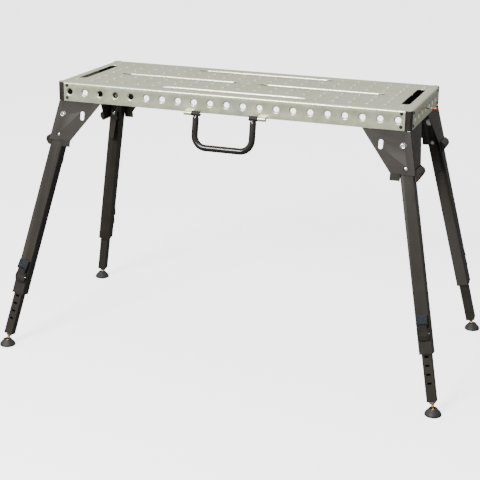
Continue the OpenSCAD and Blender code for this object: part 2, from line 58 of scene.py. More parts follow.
def finish_mesh(name, bm, material, sharp=35.0):
    """Turns a bmesh into an object with smooth shading and sharp creases."""
    bmesh.ops.remove_doubles(bm, verts=bm.verts, dist=0.000002)
    bmesh.ops.recalc_face_normals(bm, faces=bm.faces)
    mesh = bpy.data.meshes.new(name)
    bm.to_mesh(mesh)
    bm.free()
    for polygon in mesh.polygons:
        polygon.use_smooth = True
    mesh.set_sharp_from_angle(angle=math.radians(sharp))
    piece = bpy.data.objects.new(name, mesh)
    bpy.context.scene.collection.objects.link(piece)
    mesh.materials.append(material)
    return piece


def apply_modifiers(piece):
    """Bakes the piece's modifiers into its mesh."""
    graph = bpy.context.evaluated_depsgraph_get()
    mesh = bpy.data.meshes.new_from_object(piece.evaluated_get(graph))
    piece.modifiers.clear()
    piece.data = mesh


def set_up(piece, body, slot, *replaced):
    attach(piece, body)
    if replaced:
        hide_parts(*replaced)
    return piece


def loft(bm, rings, closed=True, cap=False):
    """Joins rings of points with quads; closed joins each ring's ends."""
    rows = [[bm.verts.new(p) for p in ring] for ring in rings]
    count = len(rows[0])
    for low, high in zip(rows, rows[1:]):
        for i in range(count if closed else count - 1):
            j = (i + 1) % count
            bm.faces.new((low[i], low[j], high[j], high[i]))
    if cap:
        bm.faces.new(rows[0])
        bm.faces.new(rows[-1])
    return rows


def ring(matrix, radius, height, steps=40):
    """A ring about the local Z axis; radius is a number or a function of the angle."""
    points = []
    for i in range(steps):
        a = 2 * math.pi * i / steps
        r = radius(a) if callable(radius) else radius
        points.append(matrix @ Vector((r * math.cos(a), r * math.sin(a), height)))
    return points


def lathe(bm, profile, matrix=Matrix(), steps=40):
    """Turns (radius, height) points about the local Z axis; a loop that ends where it
    starts makes a hollow part, and any other profile is closed with a flat face."""
    rings = [ring(matrix, radius, height, steps) for radius, height in profile]
    loft(bm, rings, cap=profile[0] != profile[-1])


def hexagon(flats):
    """The radius of a hexagon at an angle, with a corner at 0."""
    return lambda a: flats / 2 / math.cos(a % math.radians(60) - math.radians(30))


def hex_nut(bm, matrix, flats, height, bore):
    """A nut with both faces chamfered, standing on the local XY plane."""
    side = hexagon(flats)
    profile = [(bore / 2 + 0.5, 0)]
    for level in (0, 0.2, 0.45, 0.75, 1.05, height / 2):
        reach = flats * 0.475 + 1.73 * level
        profile.append((lambda a, reach=reach: min(side(a), reach), level))
    profile += [(r, height - z) for r, z in profile[-2::-1]]
    profile += [(bore / 2, height - 0.5), (bore / 2, 0.5), profile[0]]
    lathe(bm, profile, matrix, 60)


def sweep(bm, path, radii, matrix=Matrix(), steps=24):
    """A tube along a path, with no twist; radii are (first side, other side) at each point."""
    rings = []
    side = None
    for i, (point, (a_side, b_side)) in enumerate(zip(path, radii)):
        ahead = (path[min(i + 1, len(path) - 1)] - path[max(i - 1, 0)]).normalized()
        if side is None:
            side = ahead.orthogonal()
        side = (side - ahead * side.dot(ahead)).normalized()
        other = ahead.cross(side)
        rings.append([matrix @ (point + a_side * math.cos(t) * side + b_side * math.sin(t) * other)
                      for t in (2 * math.pi * k / steps for k in range(steps))])
    loft(bm, rings, cap=True)


def fillet(outline, radius, steps=3):
    """Rounds every corner of an outline."""
    points = []
    count = len(outline)
    for i, corner in enumerate(outline):
        here = Vector(corner)
        before = Vector(outline[i - 1]) - here
        after = Vector(outline[(i + 1) % count]) - here
        cut = min(radius, before.length * 0.45, after.length * 0.45)
        start = here + before.normalized() * cut
        end = here + after.normalized() * cut
        for k in range(steps + 1):
            t = k / steps
            points.append((start * (1 - t) ** 2 + here * 2 * t * (1 - t) + end * t ** 2)[:])
    return points


def stadium(length, width, steps=8):
    """Points of a slot with round ends, along X, centred."""
    points = []
    r = width / 2
    for centre, start in ((length / 2 - r, -90), (-length / 2 + r, 90)):
        for i in range(steps + 1):
            a = math.radians(start + 180 * i / steps)
            points.append((centre + r * math.cos(a), r * math.sin(a)))
    return points


def circle(radius, steps=24):
    return [(radius * math.cos(2 * math.pi * i / steps), radius * math.sin(2 * math.pi * i / steps))
            for i in range(steps)]


def fill(bm, loops):
    """Fills the flat area between an outer loop and its holes."""
    edges = []
    for loop in loops:
        for pair in zip(loop, loop[1:] + loop[:1]):
            edges.append(bm.edges.get(pair) or bm.edges.new(pair))
    bmesh.ops.triangle_fill(bm, use_beauty=True, use_dissolve=False, edges=edges)


def prism(bm, outline, low, high, matrix=Matrix()):
    """A closed solid: an outline in local (Y, Z) between two places along local X."""
    loft(bm, [[matrix @ Vector((x, y, z)) for y, z in outline] for x in (low, high)], cap=True)


def bevel(piece, width, segments=2, angle=30.0):
    """Rounds the sharp edges and keeps the flats flat."""
    tool = piece.modifiers.new("bevel", "BEVEL")
    tool.width = width
    tool.segments = segments
    tool.limit_method = "ANGLE"
    tool.angle_limit = math.radians(angle)
    tool.use_clamp_overlap = True
    tool.harden_normals = False
    even = piece.modifiers.new("even", "WEIGHTED_NORMAL")
    even.keep_sharp = False
    even.weight = 100
    apply_modifiers(piece)


def rounded_copy(node, body, slot, material, width=0.0005):
    """A CAD node's own shape with its edges eased, standing in for the node."""
    bm = bmesh.new()
    bm.from_mesh(NODES[node].data)
    bmesh.ops.remove_doubles(bm, verts=bm.verts, dist=0.00001)
    bmesh.ops.dissolve_limit(bm, angle_limit=math.radians(1.0), verts=bm.verts, edges=bm.edges)
    piece = finish_mesh(node + "_finished", bm, material)
    bevel(piece, width)
    return set_up(piece, body, slot, node)


# Materials ---------------------------------------------------------------

class Shader:
    """A small builder for node materials."""

    def __init__(self, name, base, metallic, roughness):
        self.material = bpy.data.materials.new(name)
        self.material.use_nodes = True
        self.tree = self.material.node_tree
        self.bsdf = self.tree.nodes["Principled BSDF"]
        self.bsdf.inputs["Base Color"].default_value = (*base, 1)
        self.bsdf.inputs["Metallic"].default_value = metallic
        self.bsdf.inputs["Roughness"].default_value = roughness
        self.coords = self.tree.nodes.new("ShaderNodeTexCoord")

    def link(self, a, b):
        self.tree.links.new(a, b)

    def noise(self, scale, detail=3.0, roughness=0.5, stretch=None):
        noise = self.tree.nodes.new("ShaderNodeTexNoise")
        noise.inputs["Scale"].default_value = scale
        noise.inputs["Detail"].default_value = detail
        noise.inputs["Roughness"].default_value = roughness
        source = self.coords.outputs["Object"]
        if stretch:
            mapping = self.tree.nodes.new("ShaderNodeMapping")
            mapping.inputs["Scale"].default_value = stretch
            self.link(source, mapping.inputs["Vector"])
            source = mapping.outputs["Vector"]
        self.link(source, noise.inputs["Vector"])
        return noise.outputs["Fac"]

    def cells(self, scale):
        cells = self.tree.nodes.new("ShaderNodeTexVoronoi")
        cells.inputs["Scale"].default_value = scale
        self.link(self.coords.outputs["Object"], cells.inputs["Vector"])
        return cells.outputs["Color"]

    def ramp(self, source, *stops):
        ramp = self.tree.nodes.new("ShaderNodeValToRGB")
        points = ramp.color_ramp.elements
        while len(points) < len(stops):
            points.new(0.5)
        for point, (at, colour) in zip(points, stops):
            point.position = at
            point.color = (*colour, 1)
        self.link(source, ramp.inputs["Fac"])
        return ramp.outputs["Color"]

    def mix(self, factor, a, b, blend="MIX"):
        mix = self.tree.nodes.new("ShaderNodeMix")
        mix.data_type = "RGBA"
        mix.blend_type = blend
        for socket, value in ((mix.inputs[0], factor), (mix.inputs[6], a), (mix.inputs[7], b)):
            if isinstance(value, bpy.types.NodeSocket):
                self.link(value, socket)
            elif isinstance(value, tuple):
                socket.default_value = (*value, 1)
            else:
                socket.default_value = value
        return mix.outputs[2]

    def span(self, source, low, high, from_low=0.0, from_high=1.0):
        span = self.tree.nodes.new("ShaderNodeMapRange")
        span.inputs["From Min"].default_value = from_low
        span.inputs["From Max"].default_value = from_high
        span.inputs["To Min"].default_value = low
        span.inputs["To Max"].default_value = high
        self.link(source, span.inputs["Value"])
        return span.outputs["Result"]

    def edge_wear(self):
        """How far the surface bulges, which is highest along raised edges."""
        shape = self.tree.nodes.new("ShaderNodeNewGeometry")
        return shape.outputs["Pointiness"]

    def bump(self, *layers):
        normal = None
        for source, strength, distance in layers:
            bump = self.tree.nodes.new("ShaderNodeBump")
            bump.inputs["Strength"].default_value = strength
            bump.inputs["Distance"].default_value = distance
            self.link(source, bump.inputs["Height"])
            if normal:
                self.link(normal, bump.inputs["Normal"])
            normal = bump.outputs["Normal"]
        self.link(normal, self.bsdf.inputs["Normal"])

    def colour(self, source):
        self.link(source, self.bsdf.inputs["Base Color"])

    def rough(self, source):
        self.link(source, self.bsdf.inputs["Roughness"])


def zinc_sheet():
    """Pressed zinc plate: pale greenish grey, mottled, with a faint bluish and olive tint."""
    s = Shader("zinc_sheet", (0.60, 0.61, 0.56), 0.75, 0.42)
    tint = s.ramp(s.noise(9.0, 4.0, 0.6),
                  (0.30, (0.58, 0.59, 0.39)), (0.50, (0.64, 0.655, 0.48)),
                  (0.70, (0.59, 0.63, 0.52)))
    spangle = s.ramp(s.cells(160.0), (0.0, (0.90, 0.90, 0.90)), (1.0, (1.06, 1.06, 1.06)))
    streaks = s.ramp(s.noise(40.0, 3.0, 0.5, (1.0, 14.0, 14.0)),
                     (0.35, (0.93, 0.93, 0.92)), (0.65, (1.04, 1.04, 1.04)))
    s.colour(s.mix(0.35, s.mix(0.5, tint, spangle, "MULTIPLY"), streaks, "MULTIPLY"))
    s.rough(s.span(s.noise(28.0, 5.0, 0.6), 0.28, 0.44, 0.3, 0.7))
    s.bump((s.noise(900.0, 2.0), 0.10, 0.0003), (s.noise(14.0, 2.0), 0.12, 0.002))
    return s.material


def black_paint():
    """Baked brown-black paint with a little orange peel."""
    s = Shader("black_paint", (0.028, 0.026, 0.021), 0.0, 0.38)
    s.bsdf.inputs["Specular IOR Level"].default_value = 0.16
    base = s.ramp(s.noise(22.0, 4.0), (0.3, (0.024, 0.021, 0.017)), (0.7, (0.032, 0.028, 0.023)))
    worn = s.span(s.edge_wear(), 0.0, 1.0, 0.53, 0.60)
    s.colour(s.mix(worn, base, (0.060, 0.055, 0.048)))
    s.rough(s.span(s.noise(60.0, 5.0, 0.6), 0.38, 0.54, 0.3, 0.7))
    s.bump((s.noise(700.0, 2.0), 0.18, 0.0004))
    return s.material


def glossy_paint():
    """Thick black dip coat on the handle tube, glossier than the rest of the paint."""
    s = Shader("handle_paint", (0.012, 0.011, 0.010), 0.0, 0.14)
    s.colour(s.ramp(s.noise(30.0, 3.0), (0.3, (0.009, 0.008, 0.008)), (0.7, (0.016, 0.014, 0.012))))
    s.rough(s.span(s.noise(90.0, 4.0), 0.10, 0.22, 0.3, 0.7))
    s.bump((s.noise(160.0, 2.0), 0.10, 0.0005))
    return s.material


def black_plastic():
    """Moulded plastic with a fine spark-eroded texture."""
    s = Shader("black_plastic", (0.024, 0.021, 0.018), 0.0, 0.50)
    s.bsdf.inputs["Specular IOR Level"].default_value = 0.15
    s.colour(s.ramp(s.noise(30.0, 3.0), (0.3, (0.018, 0.016, 0.014)), (0.7, (0.030, 0.027, 0.023))))
    s.rough(s.span(s.noise(90.0, 4.0), 0.42, 0.60, 0.3, 0.7))
    s.bump((s.noise(1800.0, 3.0, 0.7), 0.35, 0.0003))
    return s.material


def grip_rubber():
    """Blue-black moulded grip on the latches, smoother than the body."""
    s = Shader("grip_rubber", (0.011, 0.013, 0.018), 0.0, 0.46)
    s.bsdf.inputs["Specular IOR Level"].default_value = 0.2
    s.colour(s.ramp(s.noise(60.0, 3.0), (0.3, (0.008, 0.010, 0.013)), (0.7, (0.015, 0.018, 0.023))))
    s.rough(s.span(s.noise(120.0, 3.0), 0.40, 0.55, 0.3, 0.7))
    s.bump((s.noise(1500.0, 3.0, 0.7), 0.15, 0.0003))
    return s.material


def bright_zinc():
    s = Shader("bright_zinc", (0.74, 0.75, 0.75), 1.0, 0.24)
    s.colour(s.ramp(s.noise(45.0, 4.0), (0.3, (0.68, 0.69, 0.70)), (0.7, (0.80, 0.80, 0.78))))
    s.rough(s.span(s.noise(110.0, 4.0), 0.11, 0.24, 0.3, 0.7))
    s.bump((s.noise(600.0, 3.0), 0.08, 0.0003))
    return s.material


def rod_steel():
    """Dulled steel rod, darker than the plated bolts."""
    s = Shader("rod_steel", (0.26, 0.26, 0.23), 1.0, 0.34)
    s.colour(s.ramp(s.noise(60.0, 4.0), (0.3, (0.20, 0.20, 0.17)), (0.7, (0.32, 0.32, 0.28))))
    s.rough(s.span(s.noise(110.0, 4.0), 0.28, 0.42, 0.3, 0.7))
    s.bump((s.noise(600.0, 3.0), 0.08, 0.0003))
    return s.material


def yellow_zinc():
    s = Shader("yellow_zinc", (0.60, 0.46, 0.22), 1.0, 0.30)
    s.colour(s.ramp(s.noise(70.0, 4.0), (0.3, (0.40, 0.29, 0.13)), (0.5, (0.50, 0.38, 0.18)),
                    (0.7, (0.46, 0.32, 0.20))))
    s.rough(s.span(s.noise(110.0, 4.0), 0.24, 0.40, 0.3, 0.7))
    s.bump((s.noise(600.0, 3.0), 0.10, 0.0003))
    return s.material


def pad_rubber():
    s = Shader("pad_rubber", (0.030, 0.029, 0.027), 0.0, 0.62)
    s.colour(s.ramp(s.noise(50.0, 4.0), (0.3, (0.016, 0.015, 0.014)), (0.7, (0.026, 0.025, 0.023))))
    s.rough(s.span(s.noise(80.0, 4.0), 0.50, 0.72, 0.3, 0.7))
    s.bump((s.noise(1200.0, 3.0, 0.7), 0.30, 0.0004))
    return s.material


def red_vinyl():
    s = Shader("red_vinyl", (0.60, 0.05, 0.025), 0.0, 0.28)
    s.bsdf.inputs["Subsurface Weight"].default_value = 0.05
    s.colour(s.ramp(s.noise(80.0, 3.0), (0.3, (0.54, 0.04, 0.02)), (0.7, (0.66, 0.07, 0.03))))
    s.rough(s.span(s.noise(120.0, 3.0), 0.22, 0.36, 0.3, 0.7))
    s.bump((s.noise(300.0, 2.0), 0.15, 0.0005))
    return s.material


ZINC = zinc_sheet()
PAINT = black_paint()
GLOSS = glossy_paint()
PLASTIC = black_plastic()
GRIP = grip_rubber()
BRIGHT = bright_zinc()
ROD = rod_steel()
YELLOW = yellow_zinc()
RUBBER = pad_rubber()
RED = red_vinyl()


# Deck --------------------------------------------------------------------

PITCH_X = 0.050
PITCH_Y = 0.050
COLS = range(-10, 11)
ROWS = range(-3, 4)
SHEET = 0.0015
BEND = 0.006
BUTTON_H = 0.002
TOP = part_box("deck_top")[1].z - BUTTON_H
HALF_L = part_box("deck_top")[1].x
HALF_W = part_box("deck_top")[1].y
SKIRT_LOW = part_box("skirt_front")[0].z
RAIL_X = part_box("skirt_front")[1].x
RAIL_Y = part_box("skirt_right")[1].y
HOLE_Z = (SKIRT_LOW + TOP) / 2
ROUND = 28
TROUGH_WIDTH = 0.020
SIDE_TROUGH = 0.440
MIDDLE_TROUGH = 0.387
MIDDLE_TROUGH_X = 4.5 * PITCH_X
TROUGH_OPEN_END = 0.024
SLOT_LENGTH = 0.238
SLOT_WIDTH = 0.024
SLOT_X = 10 * PITCH_X
RIVET_IN = 0.0104
RIVET_DZ = 0.0185

BUTTON = ((8.3, 0.0), (7.9, 0.06), (7.5, 0.35), (7.1, 1.0), (6.7, 1.6), (6.1, 1.92), (5.4, 2.0),
          (4.7, 1.85), (4.1, 1.35), (3.6, 0.5), (3.2, -0.5), (3.0, -1.8))
TROUGH_RIM = ((1.9, 0.0), (1.3, -0.12), (0.6, -0.7), (0.1, -1.6))
TROUGH_SIDE = ((0.1, -1.6), (-0.5, -3.4), (-1.1, -4.4), (-2.0, -4.9), (-3.0, -5.0))
SLOT_RIM = ((1.6, 0.0), (1.0, -0.06), (0.4, -0.35), (0.0, -0.9), (0.0, -1.6))
DISH = ((12.4, 0.0), (11.6, 0.07), (10.8, 0.4), (10.0, 0.95), (9.3, 1.6), (8.7, 2.4), (8.3, 3.2))


def ring_stack(bm, rings):
    """Lofts rings and gives back the outermost ring's vertices."""
    return loft(bm, rings)[0]


def button(bm, x, y):
    return ring_stack(bm, [[Vector((x + a, y + b, TOP + z * MM)) for a, b in circle(r * MM, ROUND)]
                           for r, z in BUTTON])


def trough(bm, x, y, length):
    """A recessed bead: a pressed rim all round, and a channel with a hole at each end."""
    reach = length / 2 - TROUGH_OPEN_END
    rings = []
    for grow, z in TROUGH_RIM:
        half = TROUGH_WIDTH / 2 + grow * MM
        arcs = stadium(length + 2 * grow * MM, 2 * half, 10)
        outline = (arcs[:11] + [(reach, half), (-reach, half)]
                   + arcs[11:] + [(-reach, -half), (reach, -half)])
        rings.append([Vector((x + a, y + b, TOP + z * MM)) for a, b in outline])
    rows = loft(bm, rings)
    section = [(TROUGH_WIDTH / 2 + g * MM, z * MM) for g, z in TROUGH_SIDE]
    section += [(-across, z) for across, z in reversed(section)]
    loft(bm, [[Vector((x + side * reach, y + across, TOP + z)) for across, z in section]
              for side in (-1, 1)], closed=False)
    return rows[0]


def hand_slot(bm, x):
    rings = []
    for grow, z in SLOT_RIM:
        outline = stadium(SLOT_LENGTH + 2 * grow * MM, SLOT_WIDTH + 2 * grow * MM, 12)
        rings.append([Vector((x - b, a, TOP + z * MM)) for a, b in outline])
    return ring_stack(bm, rings)


def has_button(col, row):
    """Buttons fill the grid wherever there is no trough or hand slot."""
    if abs(row) == 3:
        return abs(col) >= 5
    if row == 0:
        return abs(col) == 9 or col == 0
    return abs(col) <= 9


def top_outline():
    """The flat top's edge: it runs out to full size only at the corner tabs."""
    points = []
    inner_x, inner_y = HALF_L - BEND, HALF_W - BEND
    quarter = [(HALF_L, RAIL_Y)]
    for i in range(9):
        a = math.radians(90 * i / 8)
        quarter.append((HALF_L - BEND + BEND * math.cos(a), HALF_W - BEND + BEND * math.sin(a)))
    quarter += [(RAIL_X, HALF_W), (RAIL_X, inner_y)]
    quarter.insert(0, (inner_x, RAIL_Y))
    for sx, sy in ((1, 1), (-1, 1), (-1, -1), (1, -1)):
        part = [(sx * a, sy * b) for a, b in quarter]
        points += part if sx == sy else part[::-1]
    return points


def bend_strip(bm, start, end, out):
    """The quarter bend from the flat top down to a skirt, between two points."""
    rings = []
    for i in range(9):
        a = math.radians(90 * i / 8)
        step = out * BEND * math.sin(a) + Vector((0, 0, BEND * (math.cos(a) - 1)))
        rings.append([start + step, end + step])
    loft(bm, rings, closed=False)


def skirt_face(bm, face, along, out, reach, centres):
    """A skirt's flat with its dished holes; face is the skirt's distance from the middle."""
    low, high = SKIRT_LOW, TOP - BEND
    up = Vector((0, 0, 1))
    corners = [out * face + along * s * reach + up * z
               for s, z in ((-1, low), (1, low), (1, high), (-1, high))]
    loops = [[bm.verts.new(p) for p in corners]]
    for c in centres:
        rings = []
        for r, depth in DISH:
            centre = out * (face - depth * MM) + along * c + up * HOLE_Z
            rings.append([centre + along * a + up * b for a, b in circle(r * MM, ROUND)])
        loops.append(ring_stack(bm, rings))
    fill(bm, loops)


def deck():
    """The pressed sheet: the flat top, its bends and the four skirts, then its thickness."""
    bm = bmesh.new()
    loops = [[bm.verts.new((x, y, TOP)) for x, y in top_outline()]]
    for row in ROWS:
        for col in COLS:
            if has_button(col, row):
                loops.append(button(bm, col * PITCH_X, row * PITCH_Y))
    for row in (-3, 3):
        loops.append(trough(bm, 0, row * PITCH_Y, SIDE_TROUGH))
    for side in (-1, 1):
        loops.append(trough(bm, side * MIDDLE_TROUGH_X, 0, MIDDLE_TROUGH))
        loops.append(hand_slot(bm, side * SLOT_X))
    fill(bm, loops)
    edge_x, edge_y = HALF_L - BEND, HALF_W - BEND
    for s in (-1, 1):
        bend_strip(bm, Vector((-RAIL_X, s * edge_y, TOP)), Vector((RAIL_X, s * edge_y, TOP)),
                   Vector((0, s, 0)))
        bend_strip(bm, Vector((s * edge_x, -RAIL_Y, TOP)), Vector((s * edge_x, RAIL_Y, TOP)),
                   Vector((s, 0, 0)))
        skirt_face(bm, HALF_W, Vector((1, 0, 0)), Vector((0, s, 0)), RAIL_X,
                   [i * PITCH_X for i in COLS])
        skirt_face(bm, HALF_L, Vector((0, 1, 0)), Vector((s, 0, 0)), RAIL_Y,
                   [i * PITCH_Y for i in ROWS])
    bmesh.ops.remove_doubles(bm, verts=bm.verts, dist=0.00002)
    bmesh.ops.recalc_face_normals(bm, faces=bm.faces)
    top = max(bm.faces, key=lambda f: f.calc_area())
    bm.normal_update()
    centre = top.calc_center_median()
    outward = Vector((0, 0, 1)) if centre.z > TOP - 0.001 else Vector((centre.x, centre.y, 0))
    if top.normal.dot(outward) < 0:
        bmesh.ops.reverse_faces(bm, faces=bm.faces)
    mesh = bpy.data.meshes.new("deck_sheet")
    bm.to_mesh(mesh)
    bm.free()
    piece = bpy.data.objects.new("deck_sheet", mesh)
    bpy.context.scene.collection.objects.link(piece)
    mesh.materials.append(ZINC)
    thick = piece.modifiers.new("thickness", "SOLIDIFY")
    thick.thickness = SHEET
    thick.offset = -1.0
    thick.use_even_offset = False
    apply_modifiers(piece)
    for polygon in piece.data.polygons:
        polygon.use_smooth = True
    piece.data.set_sharp_from_angle(angle=math.radians(40))
    set_up(piece, "deck", "zinc_sheet", "deck_top", "skirt_front", "skirt_back", "skirt_left",
           "skirt_right")


deck()

# Leg parts ----------------------------------------------------------------

ALONG_X = Matrix.Rotation(math.radians(90), 4, "Y")
ALONG_Y = Matrix.Rotation(math.radians(-90), 4, "X")
LEG_Y = 22.3
TUBE = 38.0
FACE = LEG_Y - TUBE / 2
INNER_FACE = LEG_Y + TUBE / 2
LATCH = 519.5
LOCK = 63.2
INNER_END = 710.0
NUT_AT = INNER_END + 10
LATCH_PIN_Y = FACE - 5.5
LATCH_HALF = 12.9
GRIP_HALF = 15.9
BALL_R = 5.5
SOCKET_R = 5.58
THREAD_START = 9.8
THREAD_STEP = 0.3


def leg_matrix(corner):
    """A leg's own frame in mm: origin at the pivot, +X outboard, +Y inwards, -Z down the leg."""
    axis = Vector(JOINTS["fold_" + corner]["axis"])
    up = -Vector(JOINTS["height_" + corner]["axis"])
    inward = axis if corner in ("front_right", "back_left") else -axis
    turn = Matrix((axis.cross(up), inward, up)).transposed()
    origin = Vector(JOINTS["fold_" + corner]["pos_m"]) - inward * LEG_Y * MM
    return Matrix.Translation(origin) @ turn.to_4x4() @ Matrix.Scale(MM, 4)


def shift(x, y, z):
    return Matrix.Translation((x, y, z))


def height_latch(corner, leg):
    """The rocking latch: a moulded body, a wide ribbed grip, a steel tooth and its pin."""
    pivot = leg @ shift(0, 0, -LATCH)
    body = [(FACE - 6.0, 40), (FACE - 10.6, 40), (FACE - 11.8, 22), (FACE - 9.4, 5.5),
            (FACE - 9.4, -6.5), (FACE - 7, -16.3), (FACE - 5.1, -19.4), (FACE - 3.7, -19.2),
            (FACE - 1.8, 0), (FACE - 5, 13.5)]
    bm = bmesh.new()
    prism(bm, fillet(body, 1.6), -LATCH_HALF, LATCH_HALF, pivot)
    for side in (-1, 1):
        lathe(bm, [(3.9, 0), (4.4, 0.3), (4.4, 0.8)],
              pivot @ shift(side * LATCH_HALF, LATCH_PIN_Y, 0) @ ALONG_X @ Matrix.Scale(side, 4))
    piece = finish_mesh("latch_body_" + corner, bm, PLASTIC)
    bevel(piece, 0.0011, 3)
    set_up(piece, "latch_" + corner, "black_plastic", "height_latch_" + corner)

    grip = [(FACE - 6.0, 40.5), (FACE - 5.6, 53.2), (FACE - 8.2, 53.2)]
    for i in range(5):
        z = 51.6 - 4.4 * i
        crest = FACE - 8.8 - (53.5 - z) * 0.235
        grip += [(crest + 1.0, z), (crest - 0.15, z - 0.7), (crest - 0.5, z - 1.6),
                 (crest - 0.4, z - 2.6), (crest + 0.3, z - 3.3)]
    grip += [(FACE - 13.9, 30.4), (FACE - 13.8, 27.5), (FACE - 13.0, 24.9), (FACE - 12.0, 24.1),
             (FACE - 5.5, 24.1)]
    bm = bmesh.new()
    prism(bm, grip, -GRIP_HALF, GRIP_HALF, pivot)
    piece = finish_mesh("latch_grip_" + corner, bm, GRIP)
    bevel(piece, 0.0008)
    set_up(piece, "latch_" + corner, "black_plastic")

    bm = bmesh.new()
    tooth = [(FACE - 4, -14.8), (FACE + 3.7, -14.8), (FACE + 5.2, -15.4), (FACE + 5.2, -17.6),
             (FACE - 4, -19.0)]
    prism(bm, fillet(tooth, 0.5, 2), -5, 5, pivot)
    lathe(bm, [(1.9, 0), (2.3, 0.25), (2.5, 0.7), (2.5, 1.6), (2.2, 1.7), (2.2, 2.3), (2.5, 2.4),
               (2.5, 33.6), (2.2, 33.7), (2.2, 34.3), (2.5, 34.4), (2.5, 35.3), (2.3, 35.75),
               (1.9, 36)],
          pivot @ shift(-18, LATCH_PIN_Y, 0) @ ALONG_X, 28)
    piece = finish_mesh("latch_steel_" + corner, bm, BRIGHT)
    set_up(piece, "latch_" + corner, "bright_zinc")


def lock_pin(corner, leg):
    """The steel pin that locks a leg open, with a waist near its inner end."""
    bm = bmesh.new()
    back = INNER_FACE + 16
    lathe(bm, [(4.4, 2.8), (4.9, 3.0), (5.4, 3.6), (5.4, INNER_FACE + 6.5), (5.0, INNER_FACE + 7),
               (3.0, INNER_FACE + 7.1), (3.0, INNER_FACE + 12.3), (5.0, INNER_FACE + 12.4),
               (5.4, INNER_FACE + 12.8), (5.4, back - 0.6), (4.8, back)],
          leg @ shift(0, 0, -LOCK) @ ALONG_Y)
    piece = finish_mesh("lock_pin_steel_" + corner, bm, BRIGHT)
    set_up(piece, "pin_" + corner, "bright_zinc", "lock_pin_" + corner)


def foot_screw(corner, leg):
    """A ball-ended levelling screw with a real helical thread."""
    centre = Vector(JOINTS["pad_" + corner + "_tilt"]["pos_m"])
    ball_at = -(leg.inverted() @ centre).z
    at = leg @ shift(0, LEG_Y, -ball_at)
    steps = 28
    rings = [ring(at, max(BALL_R * math.sin(a), 0.05), -BALL_R * math.cos(a), steps)
             for a in (math.radians(8 + 12 * i) for i in range(12))]
    rings += [ring(at, r, z, steps) for r, z in ((2.9, 5.4), (2.9, 8.0), (3.3, 8.4), (3.7, 9.4))]
    pitch, crest, root = 1.5, 4.5, 3.75
    top = ball_at - INNER_END + 23
    levels = int((top - THREAD_START) / THREAD_STEP)
    for i in range(levels):
        z = THREAD_START + THREAD_STEP * i
        grown = min(1.0, (z - 9.6) / 1.2)

        def radius(a, z=z, grown=grown):
            phase = (z / pitch - a / (2 * math.pi)) % 1.0
            tooth = min(1.0, max(0.0, 1.35 - 3.0 * abs(phase - 0.5)))
            return root + (crest - root) * tooth * grown
        rings.append(ring(at, radius, z, steps))
    bm = bmesh.new()
    loft(bm, rings, cap=True)
    piece = finish_mesh("levelling_screw_" + corner, bm, YELLOW, 55)
    set_up(piece, "screw_" + corner, "yellow_zinc", "foot_screw_" + corner)


def lock_nut(corner, leg):
    """The nut under the end plug, on the levelling screw."""
    bm = bmesh.new()
    hex_nut(bm, leg @ shift(0, LEG_Y, -NUT_AT), 16, 7, 9.1)
    piece = finish_mesh("lock_nut_" + corner, bm, YELLOW)
    set_up(piece, "lower_" + corner, "yellow_zinc", "foot_nut_" + corner)


def foot_pad(corner):
    """A moulded cone with a rounded rim, a ball socket and tread rings underneath."""
    at = Matrix.Translation(JOINTS["pad_" + corner + "_tilt"]["pos_m"]) @ Matrix.Scale(MM, 4)
    tread = []
    for r in (4.0, 8.5, 13.0, 17.5):
        tread += [(r, -13), (r + 0.3, -12.2), (r + 1.5, -12.2), (r + 1.8, -13)]
    outside = [(22.4, -13), (23.3, -12.8), (23.8, -12.2), (24.0, -11.0), (24.0, -9.2), (23.6, -7.4),
               (22.3, -4.8), (20.3, -2.2), (18.1, 0.3), (15.9, 2.4), (14.3, 4.2), (13.5, 5.6),
               (13.0, 6.8), (12.6, 7.5), (12.2, 7.85), (11.7, 7.95), (11.3, 7.8), (10.6, 7.2),
               (4.5, 3.35)]
    angles = [math.radians(20 * i) for i in range(-1, 5)]
    socket = [(SOCKET_R * math.cos(a), -SOCKET_R * math.sin(a)) for a in angles]
    bm = bmesh.new()
    lathe(bm, [(0.4, -13)] + tread + outside + socket + [(0.4, -5.57)], at, 56)
    piece = finish_mesh("foot_pad_rubber_" + corner, bm, RUBBER, 50)
    set_up(piece, "pad_" + corner, "rubber", "foot_pad_" + corner)


def pivot_bolts():
    """Flanged socket bolts with a washer and nut inside, one through each leg."""
    bm = bmesh.new()
    socket = hexagon(7.8)
    end = INNER_FACE + 9
    for corner in CORNERS:
        leg = leg_matrix(corner)
        lathe(bm, [(0.5, -2.9), (socket, -3.1), (socket, -5.2), (4.9, -5.6), (6.2, -5.6),
                   (6.7, -5.35), (7.1, -4.7), (8.3, -2.3), (8.5, -1.8), (8.9, -1.6), (9.2, -1.5),
                   (9.5, -1.1), (9.5, -0.4), (9.2, -0.05), (5.0, -0.05), (5.0, end - 0.8),
                   (4.3, end)],
              leg @ ALONG_Y, 60)
        lathe(bm, [(5.2, 0), (9.7, 0), (10, 0.3), (10, 1.2), (9.7, 1.5), (5.2, 1.5), (5.2, 0)],
              leg @ shift(0, INNER_FACE + 0.4, 0) @ ALONG_Y)
        hex_nut(bm, leg @ shift(0, INNER_FACE + 1.9, 0) @ ALONG_Y, 16, 6.5, 9.9)
    piece = finish_mesh("pivot_bolts_steel", bm, BRIGHT)
    set_up(piece, "deck", "bright_zinc", "pivot_bolts")


